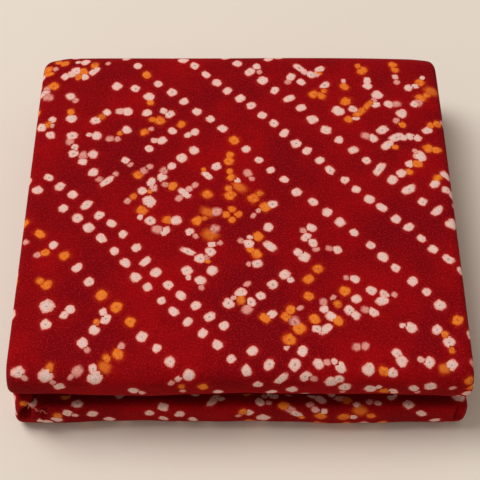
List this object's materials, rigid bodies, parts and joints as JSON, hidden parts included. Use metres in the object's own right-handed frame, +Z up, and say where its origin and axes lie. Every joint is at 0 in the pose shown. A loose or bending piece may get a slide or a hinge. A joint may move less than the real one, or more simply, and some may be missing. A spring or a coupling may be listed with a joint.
{
  "type": "folded bandhani cloth",
  "caption": "Tie-dyed cotton cloth folded into a flat packet with two rounded folds one above the other along its front.",
  "frame": {"origin": "centre of the packet's underside, on the surface that it lies on", "axes": "+Z up, +X along the two rounded front folds, +Y from the front folds towards the closed back fold"},
  "size_m": [0.24, 0.2276, 0.0514],
  "materials": {
    "tie_dyed_cotton": "matt plain weave, dyed red, with undyed and orange resist dots"
  },
  "bodies": {
    "root": {"bandhani_cloth": "tie_dyed_cotton"}
  },
  "joints": []
}
